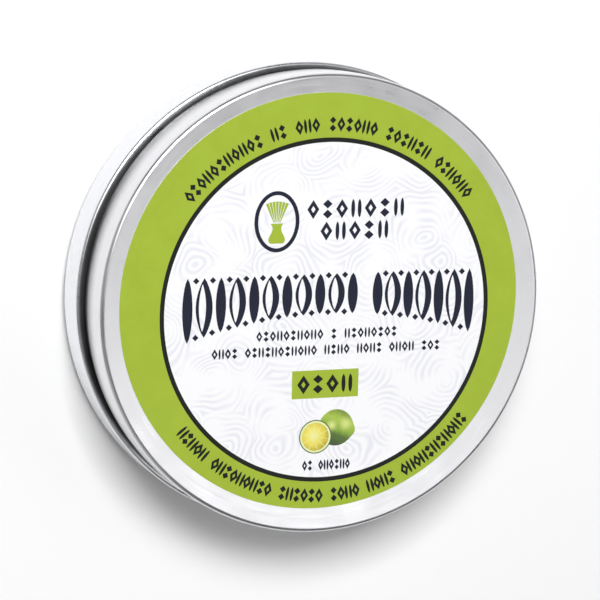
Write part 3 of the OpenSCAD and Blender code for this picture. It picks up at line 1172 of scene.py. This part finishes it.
# %% Lime inks
LIME = (2.45, -22.45)
LIME_R = 3.5
SLICE = (-1.65, -24.05)
SLICE_R = 3.25
SKIN_STOPS = ((0.0, "3E5030"), (0.3, "56702F"), (0.48, "8DAE3A"), (0.72, "A9C348"), (1.0, "6F8A34"))
FLESH_STOPS = ((0.0, "F7F09A"), (0.45, "EEE166"), (0.8, "DCCB44"), (1.0, "B9A832"))
LIGHTS = (((-0.25, 0.12, 0), 0.42, "D9E48A"), ((0.55, 0.2, 0), 0.5, "D3DE84"))


def fruit_ink(name, colour, middle, radius):
    """An ink whose point's place is counted from a fruit's middle, in fruit radii."""
    material, tree, shader, place = new_material(name, colour, 0.42)
    size = radius * MM
    there = on_lid @ Vector((*middle, 0))
    return material, tree, shader, add(tree, "ShaderNodeMapping", {
        "Vector": place, "Location": [-c / size for c in there], "Scale": (1 / size,) * 3}).outputs[0]


def fruit_tone(tree, place, value, grain, mottle, span, stops):
    """Lets a value, mottled by grain, pick a colour over a span between (position, colour) stops."""
    noise = add(tree, "ShaderNodeTexNoise", {"Vector": place, "Scale": grain[0], "Detail": grain[1]})
    mixed = add(tree, "ShaderNodeMath", [noise, mottle, value], operation="MULTIPLY_ADD")
    tone = add(tree, "ShaderNodeMapRange", {"Value": mixed, "From Min": span[0], "From Max": span[1]})
    ramp = add(tree, "ShaderNodeValToRGB", {"Fac": tone})
    elements = ramp.color_ramp.elements
    while len(elements) < len(stops):
        elements.new(0.5)
    for element, (position, colour) in zip(elements, stops):
        element.position = position
        element.color = linear(colour)
    return ramp.outputs["Color"]


def lime_skin():
    material, tree, shader, place = fruit_ink("lime_skin_ink", "93B23C", LIME, LIME_R)
    shade = add(tree, "ShaderNodeVectorMath", [place, (0.22, 0.62, 0.0)], operation="DOT_PRODUCT")
    colour = fruit_tone(tree, place, shade.outputs["Value"], (3.2, 4.0), 0.35, (-0.45, 0.85), SKIN_STOPS)
    for spot, spread, glow in LIGHTS:
        away = add(tree, "ShaderNodeVectorMath", [place, spot], operation="DISTANCE")
        near = add(tree, "ShaderNodeMapRange", {
            "Value": away.outputs["Value"], "From Min": spread, "From Max": 0.0, "To Max": 0.95},
            interpolation_type="SMOOTHSTEP")
        colour = add(tree, "ShaderNodeMix", {
            0: near, 6: colour, 7: linear(glow)}, data_type="RGBA").outputs[2]
    tree.links.new(colour, shader.inputs["Base Color"])
    return material


def lime_flesh():
    material, tree, shader, place = fruit_ink("lime_flesh_ink", "E2D24C", SLICE, SLICE_R)
    away = add(tree, "ShaderNodeVectorMath", [place, (-0.15, 0.1, 0.0)], operation="DISTANCE")
    colour = fruit_tone(tree, place, away.outputs["Value"], (5.0, 3.0), 0.5, (0.2, 1.2), FLESH_STOPS)
    tree.links.new(colour, shader.inputs["Base Color"])
    return material


rind_ink = ink("lime_rind_ink", "54703A", "4A6534")
pith_ink = ink("lime_pith_ink", "EBEFBC", "E2E8A6")
print("lime inks:", rind_ink.name, pith_ink.name)

# %% Lime pieces
LIME_TIP = math.radians(-12)
TIP_REACH = 0.12
TIP_WIDTH = 0.3
PITH_R = SLICE_R - 0.2


def lime_outline(points=72):
    """A round fruit with a small blunt tip at one end."""
    outline = []
    for k in range(points):
        angle = 2 * math.pi * k / points
        off_tip = (angle - LIME_TIP + math.pi) % (2 * math.pi) - math.pi
        radius = LIME_R * (1 + TIP_REACH * math.exp(-(off_tip / TIP_WIDTH) ** 2))
        outline.append((LIME[0] + radius * math.cos(angle), LIME[1] + radius * math.sin(angle)))
    return outline


print_plates("lime_whole", [plate(lime_outline())], lime_skin())
print_plates("lime_rind", [plate(oval(SLICE, SLICE_R, SLICE_R), top=INK_ON_FILM + 0.004)], rind_ink)
print_plates("lime_pith", [plate(oval(SLICE, PITH_R, PITH_R), top=INK_ON_FILM + 0.008)], pith_ink)
set_round("lime_segments", wedge(0.3, 2.68, 36, gap=0.09), INK_ON_FILM + 0.012,
          SLICE, 10, 8, 36, lime_flesh())

# %% [markdown]
# ## The label under the base
#
# The wording that a cosmetic has to carry is on the underside, in small dark type. It becomes
# lines of the same marks, as long as the round label leaves room for, over a block of plain bars.
# Nobody sees it until the tin is picked up, but a tin with a blank underside looks unfinished.

# %% Lines under the base
PAPER_MARGIN = 5.0
FIRST_LINE, LAST_LINE, LINE_GAP = 24, -7, 3.6
MARK_PITCH = 1.3
LONGEST_WORD = 8
WORD_SEED = 5
under_base = {"body": "base", "slot": "base_label_paper", "where": on_base}

words_random = np.random.default_rng(WORD_SEED)
paper_lines = []
for y in np.arange(FIRST_LINE, LAST_LINE, -LINE_GAP):
    half = math.sqrt((paper_high.x - PAPER_MARGIN) ** 2 - y ** 2)
    room = int(2 * half / MARK_PITCH)
    words = []
    while sum(words) + len(words) < room - LONGEST_WORD - 1:
        words.append(int(words_random.integers(3, LONGEST_WORD + 1)))
    length = MARK_PITCH * (sum(words) + len(words) - 1)
    paper_lines.append(straight_line(words, length, (0, float(y))))
set_marks("ingredients_marks", paper_lines, mark_shapes(0.95, 1.7, 0.24, INK_ON_FILM), black_ink,
          **under_base)

# %% Bars under the base
BAR_HALF, BAR_TOP, BAR_FOOT = 13.0, -10.5, -19.5
BAR_UNIT = 0.35

bars, at = [], -BAR_HALF
while at < BAR_HALF:
    wide = BAR_UNIT * float(words_random.integers(1, 4))
    bars.append(plate([(at, BAR_FOOT), (at + wide, BAR_FOOT), (at + wide, BAR_TOP), (at, BAR_TOP)]))
    at += wide + BAR_UNIT * float(words_random.integers(1, 3))
print_plates("ingredients_bars", bars, black_ink, **under_base)
